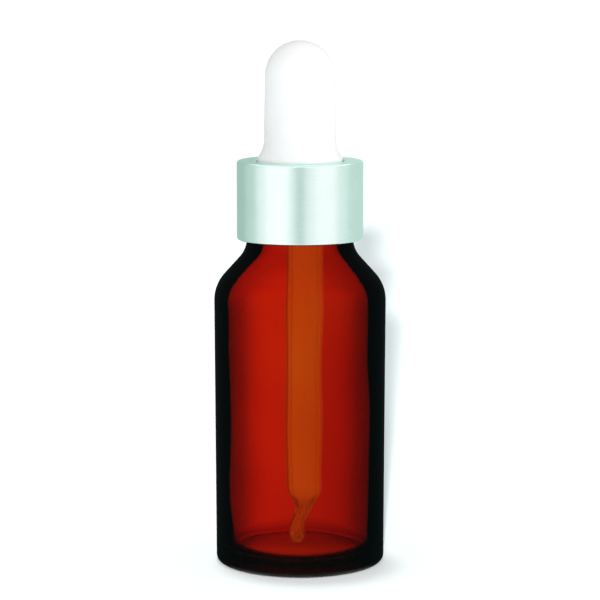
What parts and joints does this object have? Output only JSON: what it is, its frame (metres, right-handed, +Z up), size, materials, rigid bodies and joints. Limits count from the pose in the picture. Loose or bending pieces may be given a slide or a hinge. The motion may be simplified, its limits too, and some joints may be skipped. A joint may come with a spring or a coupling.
{
  "type": "dropper bottle",
  "caption": "Round amber glass bottle with a screw-on metal-shelled cap, a white rubber squeeze bulb and a bent-tip glass pipette for drawing and dosing drops.",
  "frame": {"origin": "centre of the base, on the plane that the bottle stands on", "axes": "+Z up along the bottle's axis; -Y faces the viewer; the pipette's tip is bent towards -X"},
  "size_m": [0.033, 0.033, 0.1007],
  "materials": {
    "amber_glass": "glossy transparent amber",
    "cap_plastic": "moulded polypropylene, satin",
    "aluminium": "smooth satin anodised",
    "white_rubber": "smooth matte",
    "clear_glass": "glossy clear",
    "washer_plastic": "soft polyethylene, matte"
  },
  "bodies": {
    "bottle": {"glass_bottle": "amber_glass"},
    "seal": {"sealing_washer": "washer_plastic"},
    "dropper": {"inner_cap": "cap_plastic", "metal_shell": "aluminium", "glass_pipette": "clear_glass"},
    "bulb": {"rubber_bulb": "white_rubber"}
  },
  "joints": [
    {"name": "closure_rise", "type": "slide", "parent": "bottle", "child": "seal", "axis": [0, 0, 1], "range_m": [0, 0.00477]},
    {"name": "closure_turn", "type": "hinge", "parent": "seal", "child": "dropper", "pos_m": [0, 0, 0.07], "axis": [0, 0, 1], "range_deg": [0, 540]},
    {"name": "bulb_squeeze", "type": "slide", "parent": "dropper", "child": "bulb", "axis": [1, 0, 0], "range_m": [0, 0.003], "stiffness_N_per_m": 400, "deforming": ["rubber_bulb"]}
  ],
  "couplings": [
    {"joint": "closure_rise", "follows": "closure_turn", "m_per_rad": 0.00050532}
  ]
}
